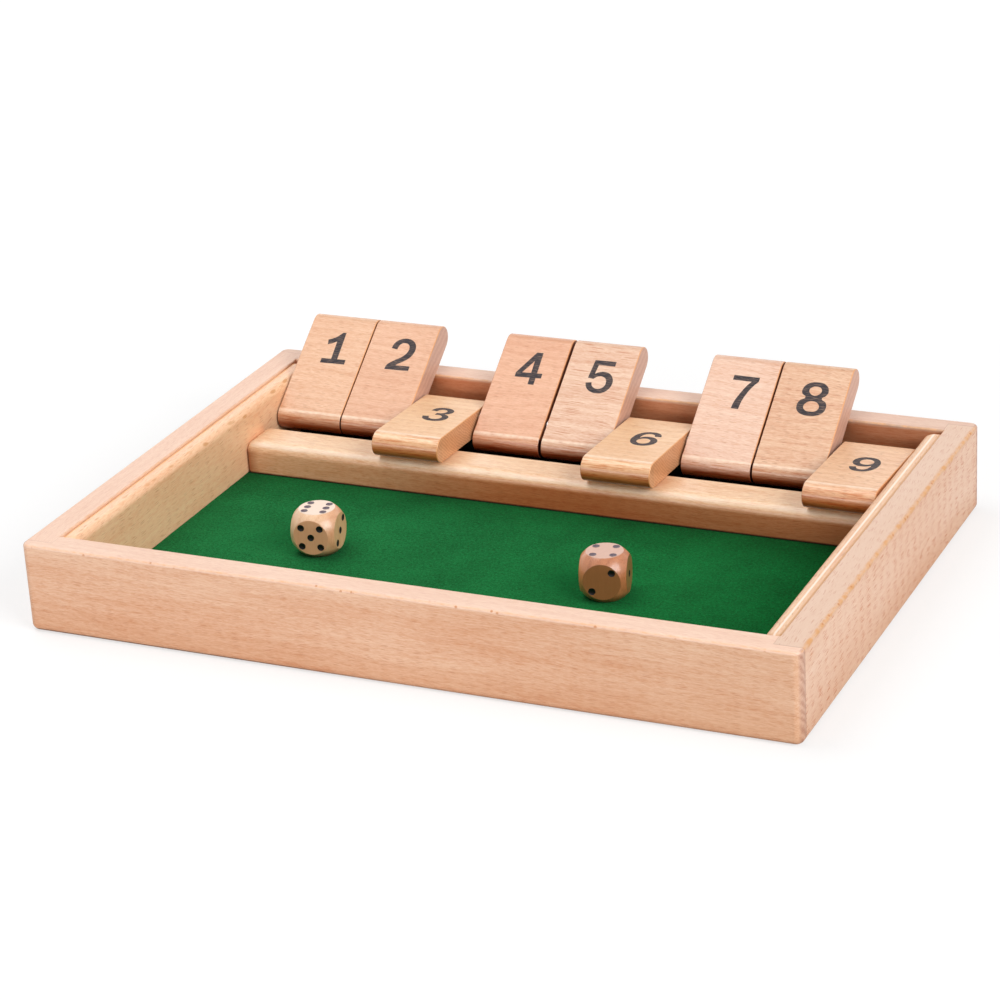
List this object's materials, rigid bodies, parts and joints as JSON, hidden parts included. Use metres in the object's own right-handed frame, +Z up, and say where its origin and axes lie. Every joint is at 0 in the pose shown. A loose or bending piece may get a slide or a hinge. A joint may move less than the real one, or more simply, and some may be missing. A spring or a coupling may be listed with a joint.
{
  "type": "shut the box game",
  "caption": "Wooden shut the box game: a felt-lined beech tray with numbered tiles that flip over on a steel rod onto a rest bar, and a pair of wooden dice.",
  "frame": {"origin": "on the table, in the middle of the space that the whole game takes up at rest, its raised tiles included", "axes": "+X along the row of tiles, from tile 1 to tile 9; +Y from the front rail to the back rail; +Z up"},
  "size_m": [0.275, 0.1952, 0.0479],
  "materials": {
    "rail_beech": "sanded beech under a thin satin lacquer",
    "tile_beech": "sanded beech under a thin satin lacquer",
    "bar_beech": "sanded beech under a satin lacquer",
    "strip_beech": "sanded pale beech under a thin satin lacquer",
    "plywood": "unlacquered plywood",
    "green_felt": "matte needled felt",
    "steel_rod": "bright drawn steel",
    "steel_washer": "bright zinc-plated steel",
    "pale_die_wood": "lacquered pale wood",
    "brown_die_wood": "lacquered red-brown wood",
    "black_paint": "black paint in the pips",
    "number_ink": "charcoal ink printed on the wood"
  },
  "bodies": {
    "tray": {"front_rail": "rail_beech", "back_rail": "rail_beech", "left_rail": "rail_beech", "right_rail": "rail_beech", "base_board": "plywood", "felt": "green_felt", "left_strip": "strip_beech", "right_strip": "strip_beech", "rest_bar": "bar_beech", "tile_rod": "steel_rod", "spacer_1": "steel_washer", "spacer_2": "steel_washer", "spacer_3": "steel_washer", "spacer_4": "steel_washer", "spacer_5": "steel_washer", "spacer_6": "steel_washer", "spacer_7": "steel_washer", "spacer_8": "steel_washer", "spacer_9": "steel_washer", "spacer_10": "steel_washer"},
    "tile_1": {"tile_1": "tile_beech"},
    "tile_2": {"tile_2": "tile_beech"},
    "tile_3": {"tile_3": "tile_beech"},
    "tile_4": {"tile_4": "tile_beech"},
    "tile_5": {"tile_5": "tile_beech"},
    "tile_6": {"tile_6": "tile_beech"},
    "tile_7": {"tile_7": "tile_beech"},
    "tile_8": {"tile_8": "tile_beech"},
    "tile_9": {"tile_9": "tile_beech"},
    "die_1": {"die_1": "pale_die_wood"},
    "die_2": {"die_2": "brown_die_wood"}
  },
  "joints": [
    {"name": "tile_1_flip", "type": "hinge", "parent": "tray", "child": "tile_1", "pos_m": [0, 0.06581, 0.0239], "axis": [1, 0, 0], "range_deg": [0, 141.68]},
    {"name": "tile_2_flip", "type": "hinge", "parent": "tray", "child": "tile_2", "pos_m": [0, 0.06581, 0.0239], "axis": [1, 0, 0], "range_deg": [0, 141.68]},
    {"name": "tile_3_flip", "type": "hinge", "parent": "tray", "child": "tile_3", "pos_m": [0, 0.06581, 0.0239], "axis": [1, 0, 0], "range_deg": [-141.68, 0]},
    {"name": "tile_4_flip", "type": "hinge", "parent": "tray", "child": "tile_4", "pos_m": [0, 0.06581, 0.0239], "axis": [1, 0, 0], "range_deg": [0, 141.68]},
    {"name": "tile_5_flip", "type": "hinge", "parent": "tray", "child": "tile_5", "pos_m": [0, 0.06581, 0.0239], "axis": [1, 0, 0], "range_deg": [0, 141.68]},
    {"name": "tile_6_flip", "type": "hinge", "parent": "tray", "child": "tile_6", "pos_m": [0, 0.06581, 0.0239], "axis": [1, 0, 0], "range_deg": [-141.68, 0]},
    {"name": "tile_7_flip", "type": "hinge", "parent": "tray", "child": "tile_7", "pos_m": [0, 0.06581, 0.0239], "axis": [1, 0, 0], "range_deg": [0, 141.68]},
    {"name": "tile_8_flip", "type": "hinge", "parent": "tray", "child": "tile_8", "pos_m": [0, 0.06581, 0.0239], "axis": [1, 0, 0], "range_deg": [0, 141.68]},
    {"name": "tile_9_flip", "type": "hinge", "parent": "tray", "child": "tile_9", "pos_m": [0, 0.06581, 0.0239], "axis": [1, 0, 0], "range_deg": [-141.68, 0]},
    {"name": "die_1_lift", "type": "slide", "parent": "tray", "child": "die_1", "axis": [0, 0, 1], "range_m": [0, 0.045]},
    {"name": "die_2_lift", "type": "slide", "parent": "tray", "child": "die_2", "axis": [0, 0, 1], "range_m": [0, 0.045]}
  ]
}
